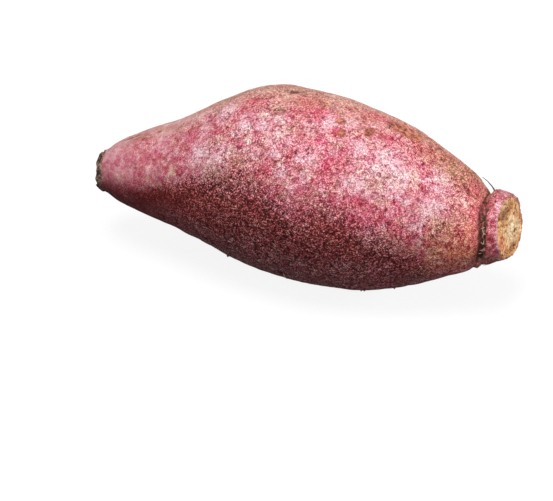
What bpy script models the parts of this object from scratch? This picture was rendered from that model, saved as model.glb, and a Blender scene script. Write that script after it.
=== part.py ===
"""A purple sweet potato lying on its belly.

It is one storage root, grown as one piece: a plump and slightly bent spindle.
Its snapped tail is at -X. At +X a deep crease sets off the crown, a short
collar with a slanting cut face. +Y is the back and +Z is up.

The skin starts as a turned profile that stands on its tail. It then gets its
lumps, creases, furrows and root scars, is bent along its centre line, and is
flattened where it lies on the ground.
"""

import math

import bpy
import numpy as np
from mathutils import Vector, noise

# Sizes are in millimetres and degrees, and this turns them into metres.
MM = 0.001

# Driving dimensions
LENGTH = 167.0  # along the centre line, from the snapped tail to the cut face
GIRTH = 38.0  # radius of the fullest section
TAIL_RADIUS = 8.4  # of the snapped end
NECK_RADIUS = 11.8  # at the bottom of the crown's crease
COLLAR_RADIUS = 13.6  # of the crown beyond the crease
FACE_RADIUS = 12.3  # of the cut face inside its rolled rim
COLLAR_DEPTH = 9.4  # from the crease to the cut face

# The body: (share of LENGTH from the tail, radius over GIRTH)
BODY_OUTLINE = (
    (0.055, 0.320),
    (0.125, 0.445),
    (0.200, 0.565),
    (0.270, 0.715),
    (0.345, 0.855),
    (0.415, 0.942),
    (0.490, 0.972),
    (0.560, 0.975),
    (0.625, 0.937),
    (0.680, 0.897),
    (0.735, 0.835),
    (0.785, 0.750),
    (0.835, 0.648),
    (0.880, 0.548),
    (0.908, 0.465),
    (0.922, 0.415),
)
SECTION_WIDE, SECTION_HIGH = 1.03, 0.98  # a section's half axes, over its radius

# The centre line: (share of LENGTH, to the back, above the ground)
CENTRE_LINE = (
    (0.00, -1.0, 30.8),
    (0.06, 0.5, 33.2),
    (0.20, 3.4, 35.2),
    (0.30, 5.6, 36.7),
    (0.42, 6.8, 37.1),
    (0.55, 5.4, 36.0),
    (0.67, 3.5, 34.8),
    (0.78, 2.3, 34.2),
    (0.88, 1.6, 34.1),
    (0.908, 0.9, 34.5),
    (0.938, -2.0, 33.2),
    (0.965, -0.9, 35.0),
    (1.00, -0.5, 36.4),
)
FLAT_DEPTH = 1.1  # how far the belly is pressed flat where it lies
FLAT_BLEND = 0.5  # the flat spot's edge is rounded over this height

# How the sections lean: (share of LENGTH, upwards, to the front)
LEAN = (
    (0.00, 4.0, -11.0),
    (0.08, 0.0, 0.0),
    (0.85, 0.0, 0.0),
    (0.945, 1.0, 0.0),
    (1.00, 14.0, 9.5),
)

# Swellings: (share of LENGTH, angle, half length, half breadth, height)
# Angles start at the top: 90 is the front and 180 is the belly.
SWELLINGS = (
    (0.135, 20.0, 10.0, 11.0, 0.9),
    (0.390, -30.0, 17.0, 20.0, 0.8),
    (0.800, -25.0, 12.0, 10.0, 0.7),
    (0.440, 180.0, 20.0, 22.0, 1.3),
    (0.942, -25.0, 4.0, 12.0, 2.2),
    (0.945, -110.0, 2.5, 9.0, 1.3),
    (0.975, 75.0, 4.0, 8.0, 0.5),
    (0.985, 170.0, 4.0, 9.0, -0.6),
)

# Root scars and eyes, sunk into the skin in rows: (share, angle, half length, half breadth, depth)
DENTS = (
    (0.087, -5.0, 5.0, 3.0, 0.4),
    (0.187, 8.0, 3.5, 11.0, 0.5),
    (0.471, -15.0, 4.5, 3.0, 0.6),
    (0.456, 9.0, 4.0, 3.2, 0.5),
    (0.597, 3.0, 3.2, 3.2, 0.5),
    (0.607, 14.0, 3.2, 3.2, 0.4),
    (0.667, 3.0, 3.4, 3.8, 0.6),
    (0.747, -18.0, 6.0, 3.4, 0.8),
    (0.210, -75.0, 3.6, 3.6, 0.6),
    (0.365, -70.0, 5.0, 3.2, 0.7),
    (0.560, -82.0, 3.8, 3.8, 0.6),
    (0.730, -72.0, 4.6, 3.4, 0.8),
    (0.290, -140.0, 3.6, 3.6, 0.6),
    (0.640, -135.0, 5.5, 3.4, 0.8),
    (0.820, -150.0, 3.6, 3.6, 0.6),
    (0.300, 140.0, 4.4, 3.4, 0.7),
    (0.500, 128.0, 3.6, 3.6, 0.6),
    (0.760, 145.0, 4.8, 3.4, 0.7),
)

# Uneven growth: (wavelength across, wavelength along, height)
UNEVENNESS = ((30.0, 36.0, 1.0), (13.0, 15.0, 0.3), (12.0, 60.0, 0.5))
SEED = 4.0  # offset into the noise field, so the lumps fall where they do

# Resolution
STEPS_ROUND = 72
BODY_STEP, END_STEP, CREASE_STEP = 3.1, 2.4, 1.0


def smooth_curve(points, step):
    """Points about one step apart on the smooth curve through the given ones."""
    nodes = [Vector(point) for point in points]
    nodes = [2 * nodes[0] - nodes[1], *nodes, 2 * nodes[-1] - nodes[-2]]
    curve = []
    for before, start, end, after in zip(nodes, nodes[1:], nodes[2:], nodes[3:]):
        pieces = max(1, round((end - start).length / step))
        for i in range(pieces):
            t = i / pieces
            curve.append(
                start
                + 0.5 * t * (end - before)
                + t * t * (before - 2.5 * start + 2 * end - 0.5 * after)
                + 0.5 * t**3 * (after - before + 3 * (start - end))
            )
    curve.append(nodes[-2])
    return [tuple(point) for point in curve]


def turned_profile():
    """(radius, height) down the outer side, from the cut face to the snapped tail."""
    crease = LENGTH - COLLAR_DEPTH
    face = [(0.0, LENGTH - 0.4), (0.55 * FACE_RADIUS, LENGTH - 0.6), (0.88 * FACE_RADIUS, LENGTH - 0.4)]
    collar = [
        (FACE_RADIUS - 0.3, LENGTH - 0.2),
        (FACE_RADIUS, LENGTH - 0.6),
        (FACE_RADIUS + 0.4, LENGTH - 2.0),
        (COLLAR_RADIUS - 0.3, LENGTH - 4.0),
        (COLLAR_RADIUS, crease + 2.6),
        (COLLAR_RADIUS - 0.5, crease + 1.4),
        (NECK_RADIUS + 0.4, crease + 0.6),
        (NECK_RADIUS, crease),
        (NECK_RADIUS + 1.1, crease - 0.6),
        (NECK_RADIUS + 2.5, crease - 1.3),
    ]
    body = [(GIRTH * r, LENGTH * s) for s, r in reversed(BODY_OUTLINE)]
    tail = [
        (TAIL_RADIUS + 0.5, 4.2),
        (TAIL_RADIUS, 2.8),
        (TAIL_RADIUS - 0.7, 1.6),
        (TAIL_RADIUS - 1.8, 0.5),
        (TAIL_RADIUS - 3.6, 0.0),
        (0.0, 0.7),
    ]
    return [
        *smooth_curve([*face, collar[0]], END_STEP)[:-1],
        *smooth_curve(collar, CREASE_STEP)[:-1],
        *smooth_curve([collar[-1], *body, tail[0]], BODY_STEP)[:-1],
        *smooth_curve(tail, END_STEP),
    ]


def turned_mesh():
    """The profile turned about its own axis, as points in millimetres and a closed mesh."""
    outline = bpy.data.meshes.new("profile")
    profile = [(radius * MM, 0.0, height * MM) for radius, height in turned_profile()]
    outline.from_pydata(profile, [(i, i + 1) for i in range(len(profile) - 1)], [])
    blank = bpy.data.objects.new("turned_blank", outline)
    bpy.context.scene.collection.objects.link(blank)
    screw = blank.modifiers.new("turn", "SCREW")
    screw.axis = "Z"
    screw.steps = screw.render_steps = STEPS_ROUND
    screw.use_merge_vertices = True
    screw.merge_threshold = 0.00002
    graph = bpy.context.evaluated_depsgraph_get()
    mesh = bpy.data.meshes.new_from_object(blank.evaluated_get(graph))
    bpy.data.objects.remove(blank)
    return mesh


def bump(distance):
    """A smooth rise that is 1 where distance is 0 and dies out past 2."""
    return np.exp(-(distance**2))


def turn_between(angle, centre):
    """The angle from centre, in radians, by the shorter way round."""
    return (angle - math.radians(centre) + math.pi) % (2 * math.pi) - math.pi


def grown_out(points, share, angle, radius):
    """How far each point stands out from the turned profile, in millimetres."""
    rise = np.zeros(len(points))
    marks = [*SWELLINGS, *((*dent[:4], -dent[4]) for dent in DENTS)]
    for at, centre, half_length, half_breadth, height in marks:
        along = (share - at) * LENGTH / half_length
        across = turn_between(angle, centre) * radius / half_breadth
        rise += height * bump(np.hypot(along, across))
    for across, along, height in UNEVENNESS:
        places = points / (across, across, along) + (0.0, 0.0, SEED)
        rise += height * np.array([noise.noise(place) for place in places])
    return rise


def bent(share, angle, radius):
    """Places on the bent root for points given by share of the length, angle and radius."""
    line = np.array(smooth_curve([(s * LENGTH, back, up) for s, back, up in CENTRE_LINE], 1.0))
    centre = np.column_stack([np.interp(share * LENGTH, line[:, 0], line[:, i]) for i in range(3)])
    stations, lean_up, lean_front = np.transpose(LEAN)
    up = SECTION_HIGH * radius * np.cos(angle)
    front = SECTION_WIDE * radius * np.sin(angle)
    ahead = -up * np.interp(share, stations, np.tan(np.radians(lean_up)))
    ahead -= front * np.interp(share, stations, np.tan(np.radians(lean_front)))
    return centre + np.column_stack((ahead, -front, up))


def flattened(height):
    """Heights above the ground, with the lowest pressed flat and a soft edge round them."""
    height = height - height.min() - FLAT_DEPTH
    edge = (height + FLAT_BLEND) ** 2 / (4 * FLAT_BLEND)
    return np.where(height > FLAT_BLEND, height, np.where(height < -FLAT_BLEND, 0.0, edge))


def shaped(points):
    """The turned points, in millimetres, as the lying root's points."""
    share = np.clip(points[:, 2] / LENGTH, 0.0, 1.0)
    radius = np.hypot(points[:, 0], points[:, 1])
    angle = np.arctan2(points[:, 1], points[:, 0]) + math.pi  # 0 on top, 90 at the front
    full = np.minimum(1.0, radius / TAIL_RADIUS)  # the end faces' middles stay put
    placed = bent(share, angle, radius + full * grown_out(points, share, angle, radius))
    placed[:, 2] = flattened(placed[:, 2])
    middle = (placed.min(0) + placed.max(0)) / 2
    placed[:, :2] -= middle[:2]
    return placed


def skin_material():
    """Matt purple-pink skin."""
    material = bpy.data.materials.new("skin")
    material.use_nodes = True
    shader = material.node_tree.nodes["Principled BSDF"]
    shader.inputs["Base Color"].default_value = (0.48, 0.17, 0.20, 1.0)
    shader.inputs["Roughness"].default_value = 0.62
    shader.inputs["Metallic"].default_value = 0.0
    return material


def sweet_potato(collection):
    mesh = turned_mesh()
    points = np.empty(len(mesh.vertices) * 3)
    mesh.vertices.foreach_get("co", points)
    points = shaped(points.reshape(-1, 3) / MM) * MM
    mesh.vertices.foreach_set("co", points.ravel())
    mesh.name = "sweet_potato"
    mesh.update()
    mesh.shade_smooth()
    mesh.materials.clear()
    mesh.materials.append(skin_material())
    root = bpy.data.objects.new("sweet_potato", mesh)
    collection.objects.link(root)
    return root


def main():
    for obj in list(bpy.data.objects):
        bpy.data.objects.remove(obj)
    collection = bpy.data.collections.new("sweet_potato")
    bpy.context.scene.collection.children.link(collection)
    sweet_potato(collection)


main()
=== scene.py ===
"""The looks of a purple sweet potato lying on its belly.

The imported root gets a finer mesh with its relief: pebbled skin, root scars and
eyes, furrows and wrinkles, a cut crown and a snapped woody tail. Rootlets and
crumbs of soil sit on it. Sizes are in millimetres and angles in degrees. A
place on the skin is a length along the root from its tail and an angle round
it: 0 on top, 90 at the front and 180 on the belly.
"""

import math
import random

import bmesh
import bpy
import numpy as np
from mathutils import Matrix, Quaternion, Vector, noise


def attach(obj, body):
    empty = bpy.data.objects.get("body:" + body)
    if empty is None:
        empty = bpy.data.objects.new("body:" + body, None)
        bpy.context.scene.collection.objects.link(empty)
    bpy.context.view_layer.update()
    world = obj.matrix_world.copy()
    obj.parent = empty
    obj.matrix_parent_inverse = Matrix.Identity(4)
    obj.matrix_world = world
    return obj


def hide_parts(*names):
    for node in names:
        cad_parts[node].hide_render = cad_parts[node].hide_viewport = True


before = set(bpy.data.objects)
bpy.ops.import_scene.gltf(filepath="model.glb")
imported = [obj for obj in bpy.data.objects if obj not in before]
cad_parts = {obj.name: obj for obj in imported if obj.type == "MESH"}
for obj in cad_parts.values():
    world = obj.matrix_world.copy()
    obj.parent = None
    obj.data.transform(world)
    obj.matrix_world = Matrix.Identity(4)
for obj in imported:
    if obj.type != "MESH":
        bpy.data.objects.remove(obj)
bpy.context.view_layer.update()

MM = 0.001
NODE = "sweet_potato"

# Camera
VIEW_AZIMUTH, VIEW_ELEVATION = 16.5, 35
VIEW_DISTANCE = 900
LENS, SENSOR = 150, 36
AIM = (0, 0, 37)
AIM_RIGHT, AIM_UP = -11.7, -26.6  # from AIM to the middle of the picture

# Studio: (name, azimuth, elevation, distance, width, watts)
LIGHTS = (
    ("key", -15, 76, 1500, 800, 19.5),
    ("side", 60, 10, 1600, 700, 13),
    ("fill", -30, 35, 1600, 900, 3.5),
    ("right", 110, 15, 1600, 500, 14.5),
    ("rim", 190, 55, 1600, 900, 3),
)
ROOM_LIGHT = 0.11
SWEEP_RADIUS, SWEEP_BEND, SWEEP_HEIGHT = 1700, 700, 1500
SWEEP_STEPS_ROUND, SWEEP_STEPS_UP, SWEEP_WELD = 96, 12, 0.1
FLOOR_COLOUR = (0.14, 0.14, 0.14, 1)
FLOOR_GLOW = 0.88

# Fine mesh
WELD = 0.01
FINE_LEVELS = 2
STATION_STEP = 6  # between the sections that give the root's own axis
FAR = 99  # further than any mark or path reaches
NEAR_SIDE = 12  # how far below a mark's middle the skin can still show it

# Tints of the skin, the pale ones partly painted highlights and painted light: (along, angle, half
# length, half breadth, strength)
PALE_AND_HIGHLIGHT = (
    (157, 98, 3, 6, 0.5),
    (18, 14, 8, 8, 0.3),
    (20, -4, 12, 8, 0.35),
    (90.5, 20, 3.5, 3.5, 0.5),
    (75, 20, 3, 3.5, 0.5),
    (124.5, 36, 4, 3.5, 0.5),
    (36, 47, 3.5, 5, 0.35),
    (70, 44, 6, 3.5, 0.45),
    (92, 52, 3.5, 3.5, 0.5),
    (148, 51, 3.5, 3.5, 0.4),
    (129.8, 87, 3, 3, 0.6),
    (57.6, 59, 3, 3, 0.8),
    (37.5, 42, 4, 6, 0.3),
    (83.8, 53, 3, 3, 0.7),
    (48.6, 25, 3, 4, 0.7),
    (3, 28, 3, 9, 0.6),
    (64, 17, 3, 2.4, 0.8),
    (77.3, 18, 2.6, 2.4, 0.8),
    (79.4, 42, 2.4, 2, 0.8),
    (117.1, 50, 3, 3, 0.8),
    (131.5, 49, 3, 3, 0.7),
    (135.5, 68, 2.6, 2.6, 0.6),
    (122, 30, 10, 9, 0.85),
    (112, 50, 3, 3, 0.8),
    (103, 24, 2.5, 3, 0.6),
    (125.5, 27, 6, 5, 0.8),
    (80, 27, 8, 6, 0.35),
    (55, 10, 4.5, 6, 0.8),
    (105, 4, 3, 3, 0.8),
    (109, 24, 4, 4, 0.8),
    (8, 4, 14, 16, 0.55),
    (33, -8, 9, 5, 0.7),
    (44, 4, 5, 5, 0.7),
    (74, 19, 6, 4, 0.5),
    (65.3, 25, 4, 3, 0.9),
    (93.5, 41, 3, 5, 0.5),
    (112.6, 46, 6, 4, 0.8),
    (118, 46, 8, 4, 0.8),
    (56.3, 50, 8, 6, 0.7),
    (52.5, 57, 4, 4, 0.9),
    (62, 46, 5, 4, 0.6),
    (142.4, 22, 5, 7, 0.8),
    (30, 24, 5, 8, 0.6),
    (12, 24, 7, 5, 0.4),
    (49, 46, 6, 5, 1),
    (142, 49, 6, 6, 0.9),
    (150.5, 34, 3.5, 4, 0.6),
    (96, 9, 2.6, 5, 0.9),
    (147.5, 6, 1.2, 1.2, 1),
    (89, 60, 3, 5, 0.4),
    (70, -60, 12, 9, 0.7),
    (118, -66, 10, 8, 0.8),
    (40, -40, 8, 7, 0.6),
    (92, -110, 10, 7, 0.5),
)
VIVID = (
    (46.8, 41, 2.6, 3, 1),
    (59, 20, 3.5, 3.5, 0.7),
    (100, 19, 3.5, 3.5, 0.8),
    (43.5, 43, 3.5, 7, 0.5),
    (124, 19, 3, 3.5, 0.5),
    (66, 61, 8, 5, 0.35),
    (103.3, 22, 2.6, 2.8, 1),
    (122.9, 23, 3, 2.4, 0.9),
    (89.3, 61, 3, 3, 0.9),
    (108, 77, 3, 3.4, 1),
    (141.3, 63, 2.6, 3, 0.9),
    (74, 71, 4, 3.4, 0.8),
    (129.4, 90, 4, 3, 0.6),
    (84.9, 70, 2.6, 2.4, 0.7),
    (45.3, 50, 2.4, 2, 0.8),
    (124.6, 13, 2.4, 2.4, 0.8),
    (64.5, 3, 6, 4, 0.8),
    (61.5, 12, 4, 4.5, 0.9),
    (86, -4, 5, 5, 0.8),
    (93.5, 34, 4, 4, 0.7),
    (153.5, -3, 4, 1.8, 1),
    (149, 8, 2.4, 1.8, 0.9),
    (140, -8, 3, 1.4, 0.8),
    (154, 44, 1.6, 8, 0.8),
    (149, 44, 3, 4, 0.6),
    (86, 22, 2.4, 3, 0.6),
    (91, 2, 6, 7, 0.9),
    (98.5, 15, 3, 4.5, 0.9),
    (108.5, 14, 2, 4, 0.6),
    (81, 8, 3, 4, 0.6),
    (116, 10, 3, 5, 0.3),
    (42, 33, 3, 5, 0.4),
    (112, 70, 8, 6, 0.7),
    (90, 72, 8, 5, 0.6),
    (128, 60, 5, 4, 0.7),
    (131, 22, 4, 2.5, 0.5),
    (125, 11, 5, 4, 0.8),
    (106, 78, 4, 5, 0.7),
    (133, 95, 9, 6, 0.8),
    (154.6, 94, 2.6, 10, 0.6),
    (155.5, 60, 2, 10, 0.8),
    (8, 62, 8, 7, 0.6),
    (85.5, 40, 1.8, 7, 0.9),
    (80, 44, 3, 2.5, 0.8),
    (93, 57, 6, 5, 0.8),
    (100.2, 41, 3.4, 5, 1),
    (105.5, 40, 3, 5, 0.9),
    (91, 31, 6, 4, 0.5),
    (90, -6, 9, 5, 0.5),
    (104.5, 26, 4, 5, 0.9),
    (112, -15, 8, 4, 0.7),
    (131, 0, 7, 5, 0.6),
    (136, 43, 5, 4, 0.8),
    (112.3, 57, 8, 5, 0.8),
    (131, 70, 7, 4, 0.7),
    (121, 66, 5, 4, 0.5),
    (152.5, 10, 5, 5, 0.8),
    (155.5, 30, 1.6, 8, 0.7),
    (23, 22, 4, 3, 0.5),
    (43, 27, 4, 7, 0.5),
    (16, 44, 9, 5, 0.4),
    (50, 30, 4, 6, 0.4),
    (78, 55, 8, 4, 0.5),
    (55, -80, 9, 6, 0.7),
    (98, -50, 9, 7, 0.8),
    (135, -90, 9, 7, 0.7),
    (80, -100, 8, 6, 0.7),
)
TAN = (
    (142.6, 92, 3, 5, 0.8),
    (130, 2, 7, 5, 0.5),
    (86.5, -2, 5, 4, 0.4),
    (140, 19, 3.5, 3, 0.4),
    (156, 57, 3, 7, 0.4),
    (100.8, 26.5, 1.8, 1.8, 0.6),
    (135, 1, 3, 2.4, 0.9),
    (145.7, 0, 3, 2.4, 0.9),
    (85.9, -6, 3, 2.4, 0.7),
    (138, 6, 2.2, 2.4, 0.9),
    (140, 14, 1.8, 1.6, 0.7),
    (133, 2, 2.4, 1.4, 0.8),
    (144, 12, 2.4, 2, 0.8),
    (123, 36, 2.6, 1.8, 0.7),
    (119, 44, 3, 2.4, 0.6),
    (148, 66, 6, 5, 0.7),
    (54, 58, 5, 3, 0.5),
    (141, -10, 9, 7, 1),
    (150, -16, 9, 9, 1),
    (134, -20, 9, 4, 0.8),
    (146.5, 4, 6, 7, 1),
    (151, 14, 4, 6, 0.8),
    (150, 34, 7, 9, 0.3),
    (150, 56, 6, 9, 0.6),
    (136, -14, 10, 3, 0.8),
    (143, 2, 4, 3, 0.9),
    (151, 72, 6, 8, 0.65),
    (150, 94, 9, 8, 0.6),
    (143, 110, 10, 6, 0.5),
    (157.6, -14, 3.4, 12, 1),
    (158.2, 12, 2, 5, 0.8),
    (66.6, 50, 5, 4, 0.9),
    (73, 58, 5, 3, 0.6),
    (35.5, 24, 1.6, 7, 0.3),
    (54, -10, 6, 4, 0.35),
    (19, 10, 5, 2.2, 0.6),
    (31, 2, 5, 2, 0.5),
    (84, -12, 7, 4, 0.5),
    (60, -130, 12, 8, 0.8),
    (115, -125, 10, 7, 0.7),
    (150, -90, 6, 9, 0.8),
)
OLIVE = (
    (147, -4, 3.4, 1.4, 1),
    (92, -7, 3, 2, 0.8),
    (98, -2, 1.6, 2.4, 0.7),
    (103.5, 24, 1.6, 1.6, 0.8),
    (85, 22, 4, 3, 0.5),
    (55, 36, 4, 3, 0.5),
    (144, 68, 5, 6, 0.7),
    (144, 84, 5, 5, 0.5),
    (150, -18, 7, 3.5, 0.6),
    (144.5, -2, 5, 5, 0.7),
    (148.5, 3, 3, 3, 0.7),
    (117.5, 42, 5, 2.5, 0.5),
    (76.6, 8, 3, 1.6, 0.7),
    (76.6, 12.5, 2, 0.7, 0.6),
    (60, 62, 7, 4, 0.5),
    (128, -115, 9, 6, 0.6),
)
RUST = (
    (152, 94, 9, 9, 1),
    (103, 76, 6, 4, 0.25),
    (130, 86, 7, 6, 0.35),
    (143, 110, 9, 6, 0.6),
    (150, 74, 5, 8, 0.3),
    (152, 40, 5, 8, 0.2),
)

# Root scars: (along, angle, half length, half breadth, turn, rim height, depth, darkness)
SCARS = (
    (100.2, 5, 2.2, 2.2, 0, 0.35, 0.25, 0.05),
    (102, 15, 1.6, 2.2, 0, 0.2, 0.25, 0.3),
    (111.6, 6, 2.1, 3.2, 20, 0.2, 0.4, 0.4),
    (105.3, -2, 1, 1, 0, 0.1, 0.15, 0.2),
    (21.9, 18, 1.5, 1.1, 0, 0.2, 0.2, 0.1),
    (14.5, -2, 4.2, 1, 0, 0.1, 0.35, 0.3),
    (27, 8, 1, 0.9, 0, 0.1, 0.15, 0.3),
    (36.5, -75, 2.2, 2, 0, 0.3, 0.3, 0.2),
    (95, -82, 2.4, 2.2, 0, 0.3, 0.3, 0.25),
    (49, -140, 2.2, 2.2, 0, 0.3, 0.3, 0.2),
    (138, -150, 2, 2, 0, 0.25, 0.25, 0.25),
    (51, 140, 2.6, 1.8, 0, 0.25, 0.3, 0.2),
    (84.5, 128, 2, 2, 0, 0.25, 0.25, 0.25),
    (128, 145, 2.6, 1.8, 0, 0.25, 0.3, 0.2),
)
# Eyes, as slits between swollen lips: (along, angle, half length, half breadth, turn, depth)
EYES = (
    (78.4, -15, 3.4, 1.5, -52, 1.2),
    (62, -70, 3.6, 0.6, 10, 0.9),
    (123, -72, 3.8, 0.6, -6, 0.9),
    (108, -135, 4.2, 0.7, 12, 1),
)
# Long corky scars: (along, angle, half length, half breadth, turn)
LONG_SCARS = (
    (123.5, -12, 6.8, 4.4, 10),
    (118, -10, 1.6, 1.4, 0),
)
# Furrows: places passed through, then half width, depth and how dark they are
FURROWS = (
    (((27, -8), (30.5, 2), (33, 9), (36, 20), (37.5, 34)), 1.6, 0.25, 0),
    (((149.4, 10), (151.6, 21), (154.6, 21), (157.8, 18.5)), 0.4, 0.45, 0.9),
    (((76, 9), (77.6, 8), (79.6, 10)), 0.35, 0.2, 0.6),
    (((74.6, 13), (76.6, 12)), 0.3, 0.15, 0.5),
    (((94, -10), (96, -5), (98, -7)), 0.5, 0.25, 0.3),
    (((30, 62), (33, 84), (35, 105)), 0.8, 0.35, 0.2),
    (((140, -60), (146, -52), (152, -50)), 0.6, 0.35, 0.4),
)
# Pale raised veins: places passed through, then half width and height
VEINS = (
    (((112, 23), (118, 20), (126, 10.5)), 0.6, 0.18),
    (((94, -9), (96, -5.5), (98.5, -8)), 0.5, 0.2),
    (((70, -40), (84, -46), (97, -41)), 0.7, 0.18),
)

# Unevenness: (height, size of its lumps, all round or in x, y and z, shift)
RAGGED_COARSE = (1, 3.4, 11)
RAGGED_FINE = (0.5, 1.5, 5)
PEBBLES = (0.09, 1.9, 1)
SWELLS = (0.14, 4.6, 2)
LONG_SWELLS = (0.16, (15, 8, 8), 3)
WRINKLES = (0.1, (13, 5, 5), 4)
FLESH_LUMPS = (0.45, (1.6, 1.6, 3), 8)
FLESH_WRINKLES = (0.2, (1.2, 2.4, 2.4), 6)
COLLAR_LUMPS = (0.55, 5, 21)
COLLAR_WRINKLES = (0.3, (4, 2, 2), 22)
STUMP_LUMPS = (0.7, (1.2, 2.2, 2.2), 31)
STUMP_HOLES = (1, 2.4, 41)
# Waves in the edge of the dust with its painted sheen and of the painted shade, in degrees, and in
# the grain's strength
DUST_AND_SHEEN_WAVES = (12, 9, 51)
SHADE_WAVES = (9, 14, 3)
GRAIN_WAVES = (0.3, 8, 61)

# Dust on the top and the back, also a painted sheen and painted light along the top rim: (along,
# angle where it begins) and (along, strength)
DUST_AND_SHEEN_BEGINS = ((0, 22), (50, 12), (90, 0))
DUST_AND_SHEEN_STRENGTH = ((0, 0.7), (60, 1), (125, 1), (145, 0.5))
DUST_AND_SHEEN_EDGE = 16
DUST_AND_SHEEN_RAGGED = 5
DUST_AND_SHEEN_FADES_OUT = (-105, -45)

# The painted shade on the underside, its steep edge from about 35 to 70 along a painted cast
# shadow: (along, angle where it begins) and (along, angle it takes to be full)
SHADE_BEGINS = (
    (0, 72), (20, 67), (28, 64), (38, 65), (46, 61), (56, 55), (66, 52),
    (75, 52), (98, 54), (110, 56), (122, 61), (134, 75), (149, 118), (158, 150),
)
SHADE_WIDTHS = ((0, 50), (20, 38), (36, 23), (50, 15), (80, 29))
SHADE_LEAD = 4
SHADE_RAGGED = 4
WIDER_BEHIND, BEHIND_ANGLES = 30, (0, -60)
# The painted shade grows lighter far under, as painted light bounced from below
LIGHTER_BELOW, BELOW_ANGLES = 0.25, (92, 112)
# How strong the skin's grain is: (along, strength)
GRAIN_STRENGTH = ((0, 0.28), (30, 0.38), (55, 1), (150, 0.9), (160, 0.7))
CALM_BY_DUST_AND_SHEEN, CALM_BY_PALE_AND_HIGHLIGHT, CALM_BY_CORK = 0.15, 0.2, 0.7

# How ragged the edges of marks are
TINT_RAGGED, SCAR_RAGGED, LONG_RAGGED = 0.35, 0.3, 0.15
# Rings round a scar's middle, its edge being at 1: (reach, width)
SCAR_RIM, SCAR_HOLLOW, SCAR_HALO, SCAR_CRACK = (1, 0.35), (0, 0.7), (1.35, 0.25), (0.85, 0.2)
LONG_RIM, LONG_HOLLOW, LONG_CRACK = (1, 0.3), (0, 0.8), (1, 0.15)
# How ragged the skin is where a ring begins to show and where it is full
HALO_SHOWS, CRACK_SHOWS, LONG_CRACK_SHOWS = (-0.3, 0.2), (0, 0.35), (-0.2, 0.3)
# The reach where cork begins and is full, and where its darkness begins and is full
SCAR_CORK, LONG_CORK, DARK_CORK = (1.15, 0.8), (1.15, 0.85), (1, 0.6)
SCAR_LUMP_HEIGHT, SCAR_LUMP_SIZE = 0.14, 0.9
SCAR_HALO_PALE, SCAR_CRACK_DARK = 0.9, 0.5
LONG_HEIGHT, FIBRE_HEIGHT, FIBRE_SIZE = 0.45, 0.25, (3, 1.1, 1.1)
LONG_CRACK_DARK, FIBRE_GAP_DARK, FIBRE_GAP = 0.35, 0.5, (0.4, 0.15)
# An eye's lips, against its slit
LIP_LENGTH, LIP_BREADTH, LIP_HEIGHT, LIP_TAN, SLIT_DARK = 1.25, 3.2, 0.35, 0.5, 1.05
FURROW_DARK_NARROWER, VEIN_PALE = 1.3, 0.8

# The ends: how far their points face outward and how far in they reach
END_FACING, END_REACH = 0.82, 9

# The cut crown, in face radii: (to the front, up, half width, half height, strength)
FACE_RADIUS = 12.3
FACE_OVAL = (0.02, -0.05, 0.98, 0.95)  # the bare flesh
FACE_OVAL_EDGE, FACE_OVAL_RAGGED = (1.04, 0.98), 0.05
FACE_DEPTHS, FACE_FADE = ((-0.6, 2.8), (0.2, 1.4)), 0.8  # (to the front, depth in millimetres)
FACE_TINTS = (
    ("cream", -0.15, -0.24, 0.46, 0.42, 1),
    ("cream", 0.1, 0.84, 0.3, 0.14, 0.6),
    ("cream", -0.55, -0.28, 0.22, 0.22, 0.7),
    ("worn", 0.07, 0.46, 0.42, 0.2, 1),
    ("worn", 0.46, 0.56, 0.16, 0.12, 0.8),
    ("worn", -0.68, 0.08, 0.16, 0.28, 0.6),
    ("worn", -0.4, -0.86, 0.28, 0.18, 1),
    ("worn", 0.1, -0.76, 0.5, 0.21, 1),
    ("worn", 0.34, -0.95, 0.44, 0.14, 0.7),
    ("raw", 0.76, -0.1, 0.14, 0.22, 1),
    ("raw", 0.52, -0.34, 0.1, 0.2, 0.8),
    ("raw", 0.9, 0.3, 0.1, 0.25, 0.4),
)
FACE_HOLLOWS = (
    (0.1, 0.46, 0.42, 0.22, 0.8),
    (0.49, 0.56, 0.1, 0.07, 1),
    (-0.22, 0.42, 0.12, 0.06, 0.9),
    (-0.42, -0.4, 0.1, 0.07, 1.5),
    (-0.21, 0, 0.06, 0.05, 1),
    (-0.16, -0.8, 0.12, 0.06, 1.3),
    (0.1, -0.71, 0.3, 0.05, 0.7),
    (0.6, -0.7, 0.25, 0.06, 0.6),
)
FACE_RAGGED = 0.3
HOLLOW_DEPTH, DARK_FROM_STRENGTH, DARK_HOLLOW = 0.7, 0.5, (0.3, 0.8)

# The collar, from the crease to the face's rim
COLLAR_BEGINS = (0.5, 2.5)  # past the crease
COLLAR_CLEANER = 0.8
RIM_DEPTH, RIM_TO_FRONT, COLLAR_TOP = (4, 2), (0, 0.4), (70, 0)
# Less vivid on the rim and on top, where painted highlights fall
COLLAR_VIVID, RIM_LESS_VIVID, TOP_LESS_VIVID = 0.24, 0.12, 0.1
COLLAR_SHADE, RIM_LESS_SHADE = 0.3, 0.8
# Painted shade at the collar's foot in the crease
FOOT_SHADE, FOOT_RING, FOOT_ANGLES = 0.65, (1.2, 1.2), (20, 60)
# Painted highlights on the front of the rolled rim and on the collar's top
RIM_PALE_HIGHLIGHT, RIM_RING = 0.55, (1.04, 0.07)
TOP_HIGHLIGHT, TOP_RING = 0.4, (1.1, 0.06)
COLLAR_TAN, COLLAR_TAN_ANGLES = 0.7, (95, 125)

# The crease
CREASE_BACK = 12.6  # from the crown's far end to the crease
CREASE_SHIFT = 2  # how far the shoulder leans over the crease at the front
CREASE_OPEN = (6, 44, 104, 122)  # angles over which the crease deepens and closes again
CLOSED_BELOW = 6
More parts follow.
